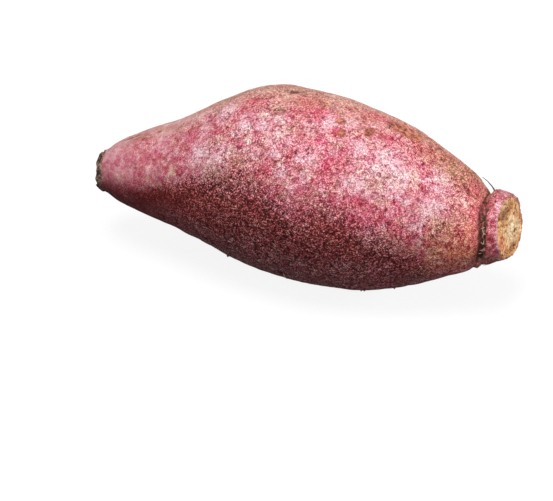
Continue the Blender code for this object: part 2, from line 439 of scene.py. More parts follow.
# What cuts the crease where it is open and fills it where closed: (height, place, width)
CREASE_CUT = (-0.75, -0.2, 1.5)
CREASE_FILLS = ((0.95, 0, 1.5), (1, -6.1, 3.5), (-1.1, -1.5, 1.5))
CREASE_RAGGED = 0.5
SOIL_HELD, SOIL_ELSEWHERE, SOIL_RING = ((20, 0.5), (60, 1)), 0.3, (-0.3, 1.7)
# Painted shade deep in the open crease: (angle, strength) and the ring it fills
CREASE_SHADE, CREASE_SHADE_RING = ((30, 0.15), (60, 0.35), (84, 0.8)), (-0.3, 1)
SHOULDER_RING, SHOULDER_BEGINS, SHOULDER_ENDS = (84, 32), (-10, -2.5), (4.5, 0.8)

# The tail's stump
STUMP_DEPTH, STUMP_EDGE, STUMP_RAGGED = 3, 0.3, 0.5
STUMP_WORN = 0.1
STUMP_DARK, STUMP_DARK_HOLES = 0.8, (0.1, 0.4)

# Sizes of the patterns in the skin and the flesh
DRIFT_SIZE, BLOTCH_SIZE, HUE_SIZE, MOTTLE_SIZE, WEATHER_SIZE = 24, 6, 4.5, 2.6, 1.8
SPECK_SIZE, FINE_SIZE, DASH_SIZE, GRAIN_SIZE = 1.4, 1.2, 0.8, 0.3
FLESH_FIBRE_SIZE, STAIN_SIZE = 1.2, 4

# Colours in 0 to 255 as the eye sees them; a pair is mixed from the first to the second
CLEAN_SKIN = ((198, 112, 120), (184, 84, 100))
LIGHT_SKIN = ((228, 188, 164), (226, 172, 186))
DARK_SKIN = ((164, 48, 54), (186, 36, 86))
# The dust colour also paints a sheen and light along the top rim
DUST_AND_SHEEN_COLOUR, DUST_AND_SHEEN_MOST = (198, 154, 132), 0.68
SHADE_COLOUR = (137, 61, 52)
TINT_COLOURS = (
    ("vivid", ((188, 34, 76), (188, 34, 76)), 0.95),
    # The pale tint also paints highlights and light
    ("pale_and_highlight", ((236, 192, 200), (236, 192, 200)), 0.9),
    ("tan", ((138, 72, 58), (186, 122, 94)), 0.95),
    ("rust", ((214, 88, 70), (250, 158, 120)), 0.9),
    ("olive", ((124, 76, 52), (180, 134, 90)), 0.85),
    ("cork", ((140, 58, 48), (216, 140, 104)), 0.95),
)
FLESH_COLOURS = ((170, 94, 50), (255, 208, 148))
FLESH_STAIN, FLESH_DOTS = (206, 140, 92), (150, 104, 74)
FACE_COLOURS = (
    ("cream", ((226, 162, 104), (255, 238, 200))),
    ("worn", ((86, 48, 30), (200, 140, 92))),
    ("raw", ((170, 66, 50), (236, 150, 112))),
)
WOOD_COLOURS = ((86, 60, 52), (172, 136, 118))
SOIL_COLOURS = ((58, 19, 13), (197, 106, 80))
PIT_COLOUR = (44, 18, 13)
ROOTLET_COLOURS = ((186, 142, 126), (240, 214, 200))
DRY_ROOT_COLOUR = (52, 40, 44)
CRUMB_COLOURS = ((44, 28, 22), (126, 88, 66))

# The grain, in even steps of tone: where a kind begins in its pattern and where it is
# full, and how far it lightens or darkens the clean skin and the shaded skin
TONE_POWER = 2.2
DARK_DOTS = (0.54, 0.26, -0.24, -0.34)
LIGHT_DOTS_BEGIN = (0.48, 0.56)  # on the clean skin and on the shaded skin
LIGHT_DOTS = (0.76, 0.3, 0.66)
DARK_SPECKS = (0.46, 0.32, -0.24, -0.24)
LIGHT_SPECKS = (0.54, 0.68, 0.09, 0.09)
DASHES = (0.6, 0.72, 0.1, 0.4)
WHITE, SHADED_GLINT = (1, 1, 1, 1), (1, 0.78, 0.79, 1)
# The skin's finish
CELLS_IN_GRAINS, FINE_IN_GRAINS = 0.7, 0.3
GRAINS_IN_RELIEF, MOTTLE_IN_RELIEF = 0.6, 0.8
RELIEF_DEPTH, RELIEF_STRENGTH = 0.5, 0.36
GLOSSIER, DULLER, DULLEST = 0.54, 0.7, 0.9
SPECULAR, SOIL_MOST = 0.35, 0.8
# The finish of the other pieces
ROOTLET_ROUGHNESS, DRY_ROOT_ROUGHNESS = 0.7, 0.6
CRUMB_ROUGHNESS, CRUMB_RELIEF = 0.95, 0.2

# Thin roots: (along, angle, count, scatter, length, curl, radius)
STRANDS = (
    (159, 66, 5, 12, 3.6, 220, 0.14),
    (159, 88, 6, 12, 4, 240, 0.14),
    (158.6, 20, 3, 12, 3, 200, 0.1),
    (159.3, -60, 5, 30, 4.5, 240, 0.11),
    (159.3, 160, 4, 30, 4, 240, 0.11),
    (118, -10, 2, 3, 2, 60, 0.1),
    (100.2, 5, 1, 1, 1.2, 40, 0.14),
    (36.5, -75, 3, 4, 9, 120, 0.14),
    (95, -82, 2, 4, 7, 90, 0.13),
    (108, -135, 3, 5, 6, 120, 0.12),
    (84.5, 128, 2, 3, 5, 90, 0.12),
)
STRAND_STEPS, STRAND_WANDER, STRAND_LEAN = 14, 0.3, 0.7
STRAND_SCATTER_ALONG, STRAND_SUNK, STRAND_LENGTHS = 0.6, 0.3, (0.6, 1.2)
# Fibres lying on the skin: (along, angle, count, scatter along, scatter round, length, radius)
FIBRES = (
    (118, 96, 60, 30, 16, 1.6, 0.085),
    (135, 84, 20, 14, 14, 1.4, 0.08),
    (80, 92, 30, 24, 16, 1.4, 0.08),
    (100, -110, 40, 50, 24, 1.6, 0.085),
)
FIBRE_LENGTHS, FIBRE_BOW = (0.4, 1.3), 0.15
# One long dry root that leaves the collar over the shoulder
DRY_ROOT_FROM = (160.8, -18)
DRY_ROOT_BENDS = ((-0.5, 0, -0.6), (-2, 0.5, 1.2), (-3.9, 1, 2.8), (-6.1, 1.5, 4))
DRY_ROOT_RADIUS = 0.3
TAPER = 0.7
# Crumbs of soil: (along, angle, count, scatter along, scatter round, largest size)
CRUMBS = (
    (159.2, 66, 34, 1.2, 38, 0.6),
    (159.2, -110, 26, 1.2, 70, 0.75),
    (158.6, 18, 5, 0.6, 6, 0.5),
    (77, 10, 3, 2, 4, 0.35),
    (118, -10, 4, 1.5, 3, 0.4),
    (2, 90, 10, 1.5, 90, 0.6),
    (2, -90, 10, 1.5, 90, 0.6),
    (95, 150, 16, 40, 30, 0.45),
    (95, -140, 16, 40, 30, 0.45),
)
CRUMB_SIZES, CRUMB_OUT, CRUMB_CLEARANCE = (0.45, 1), 0.15, 2
CRUMB_LUMPS, CRUMB_LUMP_RATE, CRUMB_SHIFT = 0.75, 1.3, 99
SEED = 7


def unit(vector):
    return vector / np.linalg.norm(vector)


def ramp(value, low, high):
    """0 below low, 1 above high, and a smooth rise between."""
    t = np.clip((value - low) / (high - low), 0, 1)
    return t * t * (3 - 2 * t)


def read_off(value, places):
    """What the line through these (value, result) places gives."""
    return np.interp(value, *zip(*places))


def hump(distance):
    return np.exp(-(distance**2))


def ring(distance, middle, width):
    """1 where distance is at middle, falling to 0 on both sides over width."""
    return hump((distance - middle) / width)


def turn_between(angle, centre):
    """The angle from centre by the shorter way round."""
    return (angle - centre + 180) % 360 - 180


def oval_reach(front, up, oval):
    """How far points in a plane are from the middle of an oval whose edge is at 1."""
    to_front, height, half_width, half_height = oval
    return np.hypot((front - to_front) / half_width, (up - height) / half_height)


def noise_at(points, size, shift=0):
    """Smooth noise, from about -1 to 1, whose lumps are about size across."""
    return np.array([noise.noise(place) for place in points / size + shift])


def ridges_at(points, size, shift=0):
    """Noise with sharp ridges: 1 along them and 0 far from them."""
    return 1.0 - np.minimum(1.0, np.abs(noise_at(points, size, shift)) * 3.0)


def placed(name, data):
    """A new object in the scene."""
    thing = bpy.data.objects.new(name, data)
    bpy.context.scene.collection.objects.link(thing)
    return thing


def fine_mesh(node):
    """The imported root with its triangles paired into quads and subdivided."""
    work = bmesh.new()
    work.from_mesh(node.data)
    bmesh.ops.remove_doubles(work, verts=work.verts, dist=WELD * MM)
    bmesh.ops.join_triangles(
        work, faces=work.faces, angle_face_threshold=math.pi, angle_shape_threshold=math.pi
    )
    mesh = bpy.data.meshes.new("sweet_potato_skin")
    work.to_mesh(mesh)
    work.free()
    root = placed("sweet_potato_skin", mesh)
    finer = root.modifiers.new("finer", "SUBSURF")
    finer.levels = finer.render_levels = FINE_LEVELS
    graph = bpy.context.evaluated_depsgraph_get()
    root.data = bpy.data.meshes.new_from_object(root.evaluated_get(graph))
    root.modifiers.clear()
    root.data.shade_smooth()
    return root


class Skin:
    """The root's fine mesh, where its points lie, how far they rise, and what tints them."""

    MASKS = (
        "pale_and_highlight", "vivid", "tan", "olive", "rust", "dust_and_sheen", "shade", "grain",
        "cork", "soil", "pit", "bark", "flesh", "cream", "worn", "raw",
    )

    def __init__(self, root):
        self.mesh = root.data
        self.points = self.vectors("co") / MM
        self.normals = self.vectors("normal")
        x = self.points[:, 0]
        self.along = x - x.min()
        self.length = x.max() - x.min()
        stations = np.arange(x.min() + STATION_STEP / 2, x.max(), STATION_STEP)
        middles = []
        for station in stations:
            band = self.points[np.abs(x - station) < STATION_STEP]
            middles.append((band.min(0) + band.max(0)) / 2)
        middles = np.array(middles)
        front = np.interp(x, stations, middles[:, 1]) - self.points[:, 1]
        up = self.points[:, 2] - np.interp(x, stations, middles[:, 2])
        self.angle = np.degrees(np.arctan2(front, up))
        self.radius = np.hypot(front, up)
        self.rise = np.zeros(len(x))
        self.masks = {name: np.zeros(len(x)) for name in self.MASKS}
        self.ragged = self.lumps(*RAGGED_COARSE) + self.lumps(*RAGGED_FINE)

    def vectors(self, name):
        """That vector of every point of the mesh."""
        values = np.empty(len(self.mesh.vertices) * 3)
        self.mesh.vertices.foreach_get(name, values)
        return values.reshape(-1, 3)

    def nearest(self, along, angle):
        """The point of the mesh nearest to a place on the skin."""
        across = np.radians(turn_between(self.angle, angle)) * self.radius
        return np.hypot(self.along - along, across).argmin()

    def spread(self, along, angle, half_length, half_breadth, turn=0.0):
        """How far each point is from the middle of a mark whose edge is at 1."""
        at = self.nearest(along, angle)
        outward = self.normals[at]
        lengthwise = unit(np.array((1.0, 0.0, 0.0)) - outward * outward[0])
        crosswise = np.cross(lengthwise, outward)
        away = self.points - self.points[at]
        u, v = away @ lengthwise, away @ crosswise
        c, s = math.cos(math.radians(turn)), math.sin(math.radians(turn))
        reach = np.hypot((c * u + s * v) / half_length, (c * v - s * u) / half_breadth)
        return np.where(away @ outward > -NEAR_SIDE, reach, FAR)

    def off_path(self, places):
        """How far each point is from a path over the skin, in millimetres."""
        stops = [self.points[self.nearest(*place)] for place in places]
        distance = np.full(len(self.points), FAR)
        for start, end in zip(stops, stops[1:]):
            run = end - start
            away = self.points - start
            share = np.clip(away @ run / (run @ run), 0, 1)
            off = np.linalg.norm(away - share[:, None] * run, axis=1)
            distance = np.minimum(distance, off)
        return distance

    def lumps(self, height, size, shift):
        """Smooth lumps of that height and size all over the skin."""
        return height * noise_at(self.points, size, shift)

    def wrinkles(self, height, size, shift):
        """Sharp ridges of that height and size all over the skin."""
        return height * ridges_at(self.points, size, shift)

    def paint(self, mask, amount):
        self.masks[mask] = np.maximum(self.masks[mask], amount)

    def store(self):
        """Moves the mesh's points, none below the ground, and keeps the masks on it."""
        moved = (self.points + self.normals * self.rise[:, None]) * MM
        moved[:, 2] = np.maximum(moved[:, 2], 0.0)
        self.mesh.vertices.foreach_set("co", moved.ravel())
        for name, values in self.masks.items():
            attribute = self.mesh.attributes.new(name, "FLOAT", "POINT")
            attribute.data.foreach_set("value", np.clip(values, 0, 1).astype(np.float32))
        self.mesh.update()


def tinted(skin):
    """Patches of the skin's colours, with ragged edges; some pale ones are painted highlights and
    painted light.
    """
    ragged = 1.0 + TINT_RAGGED * skin.ragged
    tints = {"pale_and_highlight": PALE_AND_HIGHLIGHT, "vivid": VIVID, "tan": TAN, "olive": OLIVE, "rust": RUST}
    for mask, patches in tints.items():
        for *place_and_size, strength in patches:
            skin.paint(mask, strength * hump(skin.spread(*place_and_size) * ragged))


def dusted_and_sheened(skin):
    """Dust along the top and the back, also painting a sheen and light on the top rim."""
    past = read_off(skin.along, DUST_AND_SHEEN_BEGINS) - skin.angle
    past += skin.lumps(*DUST_AND_SHEEN_WAVES) + DUST_AND_SHEEN_RAGGED * skin.ragged
    back = ramp(past, -DUST_AND_SHEEN_EDGE, DUST_AND_SHEEN_EDGE) * ramp(skin.angle, *DUST_AND_SHEEN_FADES_OUT)
    skin.paint("dust_and_sheen", back * read_off(skin.along, DUST_AND_SHEEN_STRENGTH))


def shaded(skin):
    """Painted shade on the underside, with a steep painted cast-shadow edge, lighter again far
    under.
    """
    side = np.abs(skin.angle) + skin.lumps(*SHADE_WAVES) + SHADE_RAGGED * skin.ragged
    begins = read_off(skin.along, SHADE_BEGINS)
    width = read_off(skin.along, SHADE_WIDTHS)
    width += WIDER_BEHIND * ramp(skin.angle, *BEHIND_ANGLES)
    under = 1.0 - LIGHTER_BELOW * ramp(side, *BELOW_ANGLES)
    skin.paint("shade", under * ramp(side, begins - SHADE_LEAD, begins + width))


def grained(skin):
    """How strong the skin's grain is."""
    calm = 1.0 - CALM_BY_DUST_AND_SHEEN * skin.masks["dust_and_sheen"] - CALM_BY_PALE_AND_HIGHLIGHT * skin.masks["pale_and_highlight"]
    grain = read_off(skin.along, GRAIN_STRENGTH) * calm
    skin.paint("grain", grain * (1.0 + skin.lumps(*GRAIN_WAVES)))


def pebbled(skin):
    """The skin's own unevenness."""
    skin.rise += skin.lumps(*PEBBLES) * skin.masks["grain"]
    skin.rise += skin.lumps(*SWELLS)
    skin.rise += skin.lumps(*LONG_SWELLS)
    skin.rise += skin.wrinkles(*WRINKLES)


def scarred(skin):
    """Root scars: cork in a rimmed hollow, with a pale halo and dark cracks."""
    halo = SCAR_HALO_PALE * ramp(skin.ragged, *HALO_SHOWS)
    crack = SCAR_CRACK_DARK * ramp(skin.ragged, *CRACK_SHOWS)
    for *mark, rim, depth, darkness in SCARS:
        reach = skin.spread(*mark) * (1.0 + SCAR_RAGGED * skin.ragged)
        skin.rise += rim * ring(reach, *SCAR_RIM) - depth * ring(reach, *SCAR_HOLLOW)
        skin.rise += hump(reach) * skin.lumps(SCAR_LUMP_HEIGHT, SCAR_LUMP_SIZE, mark[0])
        skin.paint("cork", ramp(reach, *SCAR_CORK))
        skin.paint("pale_and_highlight", halo * ring(reach, *SCAR_HALO))
        skin.paint("pit", crack * ring(reach, *SCAR_CRACK))
        skin.paint("pit", darkness * ramp(reach, *DARK_CORK))


def eyed(skin):
    """Eyes: dark slits between swollen tan lips."""
    for along, angle, half_length, half_breadth, turn, depth in EYES:
        slit = hump(skin.spread(along, angle, half_length, half_breadth, turn))
        size = LIP_LENGTH * half_length, LIP_BREADTH * half_breadth
        lips = hump(skin.spread(along, angle, *size, turn))
        skin.rise += LIP_HEIGHT * lips - depth * slit
        skin.paint("pit", SLIT_DARK * slit)
        skin.paint("tan", LIP_TAN * lips)


def long_scarred(skin):
    """Long corky scars, cracked along their fibres, and less grain on all cork."""
    crack = LONG_CRACK_DARK * ramp(skin.ragged, *LONG_CRACK_SHOWS)
    for mark in LONG_SCARS:
        reach = skin.spread(*mark) * (1.0 + LONG_RAGGED * skin.ragged)
        fibres = ridges_at(skin.points, FIBRE_SIZE, mark[0])
        gaps = FIBRE_GAP_DARK * ramp(fibres, *FIBRE_GAP)
        skin.rise += LONG_HEIGHT * (ring(reach, *LONG_RIM) - ring(reach, *LONG_HOLLOW))
        skin.rise += FIBRE_HEIGHT * hump(reach) * fibres
        skin.paint("cork", ramp(reach, *LONG_CORK))
        skin.paint("pit", gaps * ramp(reach, *DARK_CORK))
        skin.paint("pit", crack * ring(reach, *LONG_CRACK))
    skin.masks["grain"] *= 1.0 - CALM_BY_CORK * skin.masks["cork"]


def furrowed(skin):
    """Furrows, some of them dark, and pale raised veins."""
    for places, half_width, depth, dark in FURROWS:
        distance = skin.off_path(places) / half_width
        skin.rise -= depth * hump(distance)
        skin.paint("pit", dark * hump(distance * FURROW_DARK_NARROWER))
    for places, half_width, height in VEINS:
        distance = skin.off_path(places) / half_width
        skin.rise += height * hump(distance)
        skin.paint("pale_and_highlight", VEIN_PALE * hump(distance))


def flat_end(skin, side):
    """How far each point is behind an end's plane, to the front in it and up in it."""
    facing = skin.normals[:, 0] * side > END_FACING
    end = facing & (skin.points[:, 0] * side > skin.length / 2 - END_REACH)
    centre = (skin.points[end].min(0) + skin.points[end].max(0)) / 2
    outward = unit(skin.normals[end].mean(0))
    up = unit(np.array((0.0, 0, 1)) - outward * outward[2])
    front = np.cross(outward, up) * side
    away = skin.points - centre
    return -(away @ outward), away @ front, away @ up


def cut_crown(skin):
    """The crown's dried cut face and the collar round it."""
    behind, front, up = flat_end(skin, 1)
    front, up = front / FACE_RADIUS, up / FACE_RADIUS
    edge = oval_reach(front, up, FACE_OVAL) + FACE_OVAL_RAGGED * skin.ragged
    deep = read_off(front, FACE_DEPTHS)
    face = ramp(behind, deep, deep - FACE_FADE) * ramp(edge, *FACE_OVAL_EDGE)
    bare_flesh(skin, face, front, up)
    collar(skin, face, behind, front, edge)


def bare_flesh(skin, face, front, up):
    """Dried, fibrous flesh with its tints and worn hollows."""
    skin.paint("flesh", face)
    ragged = 1.0 + FACE_RAGGED * skin.ragged
    for tint, *oval, strength in FACE_TINTS:
        skin.paint(tint, strength * face * hump(oval_reach(front, up, oval) * ragged))
    for *oval, strength in FACE_HOLLOWS:
        hollow = face * hump(oval_reach(front, up, oval) * ragged)
        skin.rise -= HOLLOW_DEPTH * strength * hollow
        darkness = strength - DARK_FROM_STRENGTH
        skin.paint("pit", darkness * ramp(hollow, *DARK_HOLLOW))
    skin.rise += face * (skin.lumps(*FLESH_LUMPS) + skin.wrinkles(*FLESH_WRINKLES))


def collar(skin, face, behind, front, edge):
    """The cleaner collar between the crease and the face, with its rolled rim, painted shade
    deepest at its foot, and painted highlights on the rim's front and on top.
    """
    gap = skin.along - (skin.length - CREASE_BACK)
    here = ramp(gap, *COLLAR_BEGINS) * (1.0 - face)
    skin.rise += here * (skin.lumps(*COLLAR_LUMPS) + skin.wrinkles(*COLLAR_WRINKLES))
    rolled = ramp(behind, *RIM_DEPTH)
    rim = here * rolled * ramp(front, *RIM_TO_FRONT)
    over = ramp(skin.angle, *COLLAR_TOP)
    for mask in ("dust_and_sheen", "tan", "olive", "rust", "pale_and_highlight"):
        skin.masks[mask] *= 1.0 - COLLAR_CLEANER * here
    # Less vivid on the rim and on top, under the painted highlights
    skin.paint("vivid", here * (COLLAR_VIVID - RIM_LESS_VIVID * rim - TOP_LESS_VIVID * over))
    skin.paint("shade", COLLAR_SHADE * here * (1.0 - RIM_LESS_SHADE * rim))
    # Painted shade at the foot, in the crease
    foot = here * ring(gap, *FOOT_RING) * ramp(skin.angle, *FOOT_ANGLES)
    skin.paint("shade", FOOT_SHADE * foot)
    # Painted highlights on the front of the rim and on the top
    skin.paint("pale_and_highlight", RIM_PALE_HIGHLIGHT * rim * ring(edge, *RIM_RING))
    skin.paint("pale_and_highlight", TOP_HIGHLIGHT * over * rolled * ring(edge, *TOP_RING))
    below = ramp(np.abs(skin.angle), *COLLAR_TAN_ANGLES)
    skin.paint("tan", COLLAR_TAN * here * below)


def creased(skin):
    """The crease behind the crown: widest at the front, where it holds soil and painted shade, and
    closed below.
    """
    gap = skin.along - (skin.length - CREASE_BACK)
    opens, opened, closing, closed = CREASE_OPEN
    wide = ramp(skin.angle, opens, opened) * ramp(skin.angle, closed, closing)
    below = ramp(np.abs(skin.angle), closing, closed + CLOSED_BELOW)
    height, *cut = CREASE_CUT
    skin.rise += height * wide * ring(gap, *cut)
    for height, *fill in CREASE_FILLS:
        skin.rise += height * below * ring(gap, *fill)
    ragged = gap + CREASE_RAGGED * skin.ragged
    soil = read_off(skin.angle, SOIL_HELD) * wide + SOIL_ELSEWHERE * (1.0 - wide)
    skin.paint("soil", soil * ring(ragged, *SOIL_RING))
    # Painted shade deep in the open crease
    skin.paint("pit", read_off(skin.angle, CREASE_SHADE) * wide * ring(ragged, *CREASE_SHADE_RING))
    leaning = ramp(gap, *SHOULDER_BEGINS) * ramp(gap, *SHOULDER_ENDS)
    skin.points[:, 0] += CREASE_SHIFT * ring(skin.angle, *SHOULDER_RING) * leaning


def snapped_tail(skin):
    """The woody stump where the tail broke off."""
    behind, _, _ = flat_end(skin, -1)
    depth = behind + STUMP_RAGGED * skin.ragged
    stump = ramp(depth, STUMP_DEPTH + STUMP_EDGE, STUMP_DEPTH - STUMP_EDGE)
    skin.paint("bark", stump)
    skin.rise += stump * (skin.lumps(*STUMP_LUMPS) - STUMP_WORN)
    holes = ramp(skin.lumps(*STUMP_HOLES), *STUMP_DARK_HOLES)
    skin.paint("pit", STUMP_DARK * stump * holes)


def srgb(red, green, blue):
    """A colour given in 0 to 255 as the eye sees it, as linear RGBA."""
    shares = [value / 255 for value in (red, green, blue)]
    return (*[s / 12.92 if s <= 0.04045 else ((s + 0.055) / 1.055) ** 2.4 for s in shares], 1.0)


class Finish:
    """One node-built material."""

    def __init__(self, name):
        self.material = bpy.data.materials.new(name)
        self.material.use_nodes = True
        self.tree = self.material.node_tree
        self.shader = self.tree.nodes["Principled BSDF"]
        self.place = self.tree.nodes.new("ShaderNodeTexCoord").outputs["Object"]

    def add(self, kind, *inputs, **settings):
        """A node with these settings, and (socket, value or other node's output) inputs."""
        node = self.tree.nodes.new("ShaderNode" + kind)
        for name, value in settings.items():
            setattr(node, name, value)
        for socket, value in inputs:
            self.put(node.inputs[socket], value)
        return node

    def put(self, socket, value):
        if isinstance(value, bpy.types.NodeSocket):
            self.tree.links.new(value, socket)
        else:
            socket.default_value = value

    def surface(self, name, value):
        """Gives the shader that input."""
        self.put(self.shader.inputs[name], value)

    def mask(self, name):
        return self.add("Attribute", attribute_name=name).outputs["Fac"]

    def noise(self, size, detail=2, stretch=1.0, shift=0, warp=0, roughness=0.5):
        """Noise from 0 to 1 with lumps of that size, stretched along the root."""
        scale = (1 / (size * stretch * MM), 1 / (size * MM), 1 / (size * MM))
        spread = ("Scale", scale), ("Location", (shift, shift, shift))
        place = self.add("Mapping", ("Vector", self.place), *spread).outputs[0]
        inputs = ("Scale", 1.0), ("Detail", detail), ("Distortion", warp), ("Roughness", roughness)
        return self.add("TexNoise", ("Vector", place), *inputs).outputs["Fac"]

    def cells(self, size):
        """A level from 0 to 1 for each of many small grains of that size."""
        scale = (1 / (size * MM),) * 3
        place = self.add("Mapping", ("Vector", self.place), ("Scale", scale)).outputs[0]
        cells = self.add("TexVoronoi", ("Vector", place), ("Scale", 1.0))
        return cells.outputs["Color"]

    def ramp(self, value, low, high, to_low=0.0, to_high=1.0):
        """value as it rises from low to high, smoothly turned to to_low and to_high."""
        inputs = (0, value), (1, low), (2, high), (3, to_low), (4, to_high)
        return self.add("MapRange", *inputs, interpolation_type="SMOOTHSTEP").outputs[0]

    def maths(self, operation, a, b):
        return self.add("Math", (0, a), (1, b), operation=operation).outputs[0]

    def times(self, a, b):
        return self.maths("MULTIPLY", a, b)

    def mix(self, share, a, b, blend="MIX"):
        kinds = {"data_type": "RGBA", "blend_type": blend, "clamp_result": True}
        node = self.add("Mix", (0, share), (6, a), (7, b), **kinds)
        return node.outputs[2]

    def between(self, share, colours):
        """A colour between two that are given in 0 to 255."""
        first, last = colours
        return self.mix(share, srgb(*first), srgb(*last))

    def power(self, colour, exponent):
        return self.add("Gamma", ("Color", colour), ("Gamma", exponent)).outputs[0]

    def bump(self, height, depth, strength=1.0):
        inputs = ("Height", height), ("Distance", depth * MM), ("Strength", strength)
        self.surface("Normal", self.add("Bump", *inputs).outputs[0])


def blotched(skin, mottle, shade, grain):
    """The clean skin: blotches and mottles in two hues, fainter where it is shaded or calm."""
    drift = skin.noise(DRIFT_SIZE, detail=3, stretch=1.4)
    blotch = skin.noise(BLOTCH_SIZE, detail=2, shift=3, warp=0.8)
    hue = skin.ramp(skin.noise(HUE_SIZE, detail=2, shift=21), 0.42, 0.58)
    light, dark = skin.between(hue, LIGHT_SKIN), skin.between(hue, DARK_SKIN)
    colour = skin.between(skin.ramp(drift, 0.38, 0.62), CLEAN_SKIN)
    by_grain = skin.ramp(grain, 0.2, 0.8, 0.65, 0.95)
    strength = skin.times(by_grain, skin.ramp(shade, 0.0, 1.0, 1.0, 0.65))
    for pattern, begins, full, most, tone in (
        (blotch, 0.48, 0.70, 0.60, light),
        (blotch, 0.52, 0.30, 0.60, dark),
        (mottle, 0.50, 0.70, 0.66, light),
        (mottle, 0.50, 0.30, 0.78, dark),
    ):
        share = skin.times(strength, skin.ramp(pattern, begins, full, 0.0, most))
        colour = skin.mix(share, colour, tone)
    return colour


def tint_layers(skin, colour, mottle, shade):
    """Dust with its painted sheen, tints with their painted highlights, and painted shade laid over
    the clean skin, the tints broken up by the mottle.
    """
    dust_and_sheen = skin.times(skin.mask("dust_and_sheen"), DUST_AND_SHEEN_MOST)
    colour = skin.mix(dust_and_sheen, colour, srgb(*DUST_AND_SHEEN_COLOUR))
    broken = skin.ramp(mottle, 0.36, 0.56, 0.55, 1.0)
    weather = skin.noise(WEATHER_SIZE, detail=2, stretch=0.7, shift=33, warp=0.6)
    weathered = skin.ramp(weather, 0.40, 0.60)
    for name, colours, most in TINT_COLOURS:
        share = skin.times(skin.times(skin.mask(name), broken), most)
        colour = skin.mix(share, colour, skin.between(weathered, colours))
    return skin.mix(shade, colour, srgb(*SHADE_COLOUR), "MULTIPLY")


def grain_layers(skin, colour, grains, shade, grain):
    """Dots, specks and dashes, added to the colour in even steps of tone."""
    specks = skin.noise(SPECK_SIZE, detail=1, shift=7, warp=0.8)
    dashes = skin.noise(DASH_SIZE, detail=1, stretch=2.6, shift=13)
    tone = skin.power(colour, 1.0 / TONE_POWER)
    glint = skin.mix(shade, WHITE, SHADED_GLINT)
    for pattern, begins, full, clean, shaded_step in (
        (grains, *DARK_DOTS),
        (grains, skin.ramp(shade, 0.0, 1.0, *LIGHT_DOTS_BEGIN), *LIGHT_DOTS),
        (specks, *DARK_SPECKS),
        (specks, *LIGHT_SPECKS),
        (dashes, *DASHES),
    ):
        step = skin.times(skin.ramp(shade, 0.0, 1.0, abs(clean), abs(shaded_step)), grain)
        added, blend = (WHITE, "SUBTRACT") if clean < 0 else (glint, "ADD")
        tone = skin.mix(skin.times(skin.ramp(pattern, begins, full), step), tone, added, blend)
    return skin.power(tone, TONE_POWER)


def flesh_colour(skin, grains):
    """Pale fibres with stains, tints and dots."""
    fibres = skin.noise(
        FLESH_FIBRE_SIZE, detail=3, stretch=0.6, shift=17, warp=0.8, roughness=0.6
    )
    stains = skin.noise(STAIN_SIZE, detail=2, shift=29)
    face = skin.between(skin.ramp(fibres, 0.40, 0.56), FLESH_COLOURS)
    face = skin.mix(skin.ramp(stains, 0.50, 0.36, 0.0, 0.6), face, srgb(*FLESH_STAIN), "MULTIPLY")
    for name, colours in FACE_COLOURS:
        tint = skin.between(skin.ramp(fibres, 0.36, 0.52), colours)
        face = skin.mix(skin.mask(name), face, tint)
    return skin.mix(skin.ramp(grains, 0.44, 0.28, 0.0, 0.4), face, srgb(*FLESH_DOTS), "MULTIPLY")


def skin_material():
    skin = Finish("purple_skin")
    mottle = skin.noise(MOTTLE_SIZE, detail=1, shift=5, warp=0.5)
    fine = skin.noise(FINE_SIZE, detail=3, shift=9, roughness=0.7)
    cells = skin.cells(GRAIN_SIZE)
    of_cells, of_fine = skin.times(cells, CELLS_IN_GRAINS), skin.times(fine, FINE_IN_GRAINS)
    grains = skin.maths("ADD", of_cells, of_fine)
    shade, grain = skin.mask("shade"), skin.mask("grain")
    flesh, bark, soil = skin.mask("flesh"), skin.mask("bark"), skin.mask("soil")

    colour = blotched(skin, mottle, shade, grain)
    colour = tint_layers(skin, colour, mottle, shade)
    colour = grain_layers(skin, colour, grains, shade, grain)
    colour = skin.mix(flesh, colour, flesh_colour(skin, grains))
    wood = skin.between(skin.ramp(fine, 0.38, 0.62), WOOD_COLOURS)
    colour = skin.mix(bark, colour, wood)
    clods = skin.between(skin.ramp(grains, 0.38, 0.70), SOIL_COLOURS)
    colour = skin.mix(skin.times(soil, SOIL_MOST), colour, clods)
    colour = skin.mix(skin.mask("pit"), colour, srgb(*PIT_COLOUR))
    skin.surface("Base Color", colour)

    dull = skin.mask("cork")
    for mask in (soil, bark, flesh):
        dull = skin.maths("MAXIMUM", dull, mask)
    roughness = skin.ramp(mottle, 0.3, 0.7, GLOSSIER, DULLER)
    roughness = skin.maths("MAXIMUM", roughness, skin.times(dull, DULLEST))
    skin.surface("Roughness", roughness)
    skin.surface("Specular IOR Level", SPECULAR)
    coarse = skin.times(mottle, MOTTLE_IN_RELIEF)
    relief = skin.maths("ADD", skin.times(grains, GRAINS_IN_RELIEF), coarse)
    skin.bump(relief, RELIEF_DEPTH, RELIEF_STRENGTH)
    return skin.material


def rootlet_material():
    root = Finish("rootlet")
    tone = root.noise(3.0, detail=2)
    colour = root.between(root.ramp(tone, 0.35, 0.65), ROOTLET_COLOURS)
    root.surface("Base Color", colour)
    root.surface("Roughness", ROOTLET_ROUGHNESS)
    return root.material


def dry_root_material():
    root = Finish("dry_root")
    root.surface("Base Color", srgb(*DRY_ROOT_COLOUR))
    root.surface("Roughness", DRY_ROOT_ROUGHNESS)
    return root.material


def crumb_material():
    soil = Finish("dry_soil")
    grit = soil.noise(0.6, detail=3)
    colour = soil.between(soil.ramp(grit, 0.3, 0.7), CRUMB_COLOURS)
    soil.surface("Base Color", colour)
    soil.surface("Roughness", CRUMB_ROUGHNESS)
    soil.bump(grit, CRUMB_RELIEF)
    return soil.material


def any_way(chance):
    """A vector that points any way."""
    return Vector([chance.uniform(-1, 1) for _ in range(3)])


